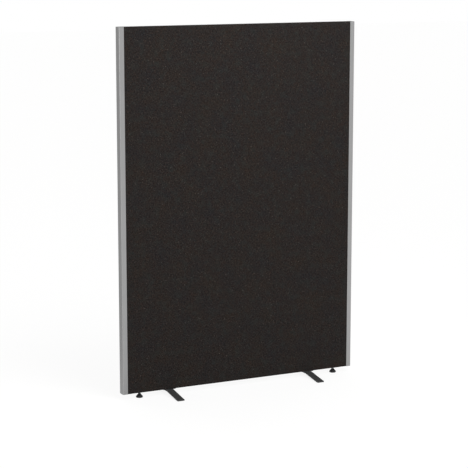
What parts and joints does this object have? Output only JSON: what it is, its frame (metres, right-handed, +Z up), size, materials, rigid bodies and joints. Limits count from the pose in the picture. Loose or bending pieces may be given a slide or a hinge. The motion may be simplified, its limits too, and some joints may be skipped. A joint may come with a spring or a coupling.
{
  "type": "floor standing screen",
  "caption": "Upright fabric covered screen in aluminium edge trims, standing on bent flat bar feet and screw-in levelling glides.",
  "frame": {"origin": "on the floor under the middle of the panel", "axes": "+X along the panel to the right seen from the front, the front faces -Y, +Z up"},
  "size_m": [1.2, 0.291, 1.696],
  "materials": {
    "cover_fabric": "woven, melange charcoal",
    "anodised_aluminium": "satin anodised, natural silver",
    "coated_steel": "fine textured powder coat, near black",
    "glide_plastic": "moulded, matt black",
    "timber": "planed softwood",
    "dowel_beech": "turned beech",
    "hardboard": "pressed hardboard, smooth",
    "honeycomb": "kraft paper honeycomb",
    "zinc_steel": "bright zinc plated",
    "passivated_steel": "yellow passivated zinc"
  },
  "bodies": {
    "screen": {"top_rail": "timber", "middle_rail": "timber", "bottom_rail": "timber", "left_stile": "timber", "right_stile": "timber", "frame_dowels": "dowel_beech", "upper_core": "honeycomb", "lower_core": "honeycomb", "front_board": "hardboard", "rear_board": "hardboard", "front_cover": "cover_fabric", "rear_cover": "cover_fabric", "cover_staples": "zinc_steel", "left_edge_trim": "anodised_aluminium", "right_edge_trim": "anodised_aluminium", "left_foot_bar": "coated_steel", "right_foot_bar": "coated_steel", "left_foot_plate": "coated_steel", "right_foot_plate": "coated_steel", "left_foot_bolts": "zinc_steel", "right_foot_bolts": "zinc_steel", "foot_inserts": "passivated_steel", "left_glide_insert": "passivated_steel", "right_glide_insert": "passivated_steel"},
    "left_glide_base": {"left_glide_base": "glide_plastic"},
    "left_glide_stud": {"left_glide_stud": "zinc_steel"},
    "right_glide_base": {"right_glide_base": "glide_plastic"},
    "right_glide_stud": {"right_glide_stud": "zinc_steel"}
  },
  "joints": [
    {"name": "left_glide_height", "type": "slide", "parent": "screen", "child": "left_glide_base", "axis": [0, 0, -1], "range_m": [-0.005, 0.0125]},
    {"name": "left_glide_turn", "type": "hinge", "parent": "left_glide_base", "child": "left_glide_stud", "pos_m": [-0.511, 0, 0.01], "axis": [0, 0, -1], "range_deg": [-1440, 3600]},
    {"name": "right_glide_height", "type": "slide", "parent": "screen", "child": "right_glide_base", "axis": [0, 0, -1], "range_m": [-0.005, 0.0125]},
    {"name": "right_glide_turn", "type": "hinge", "parent": "right_glide_base", "child": "right_glide_stud", "pos_m": [0.511, 0, 0.01], "axis": [0, 0, -1], "range_deg": [-1440, 3600]}
  ],
  "couplings": [
    {"joint": "left_glide_turn", "follows": "left_glide_height", "rad_per_m": 5026.5},
    {"joint": "right_glide_turn", "follows": "right_glide_height", "rad_per_m": 5026.5}
  ]
}
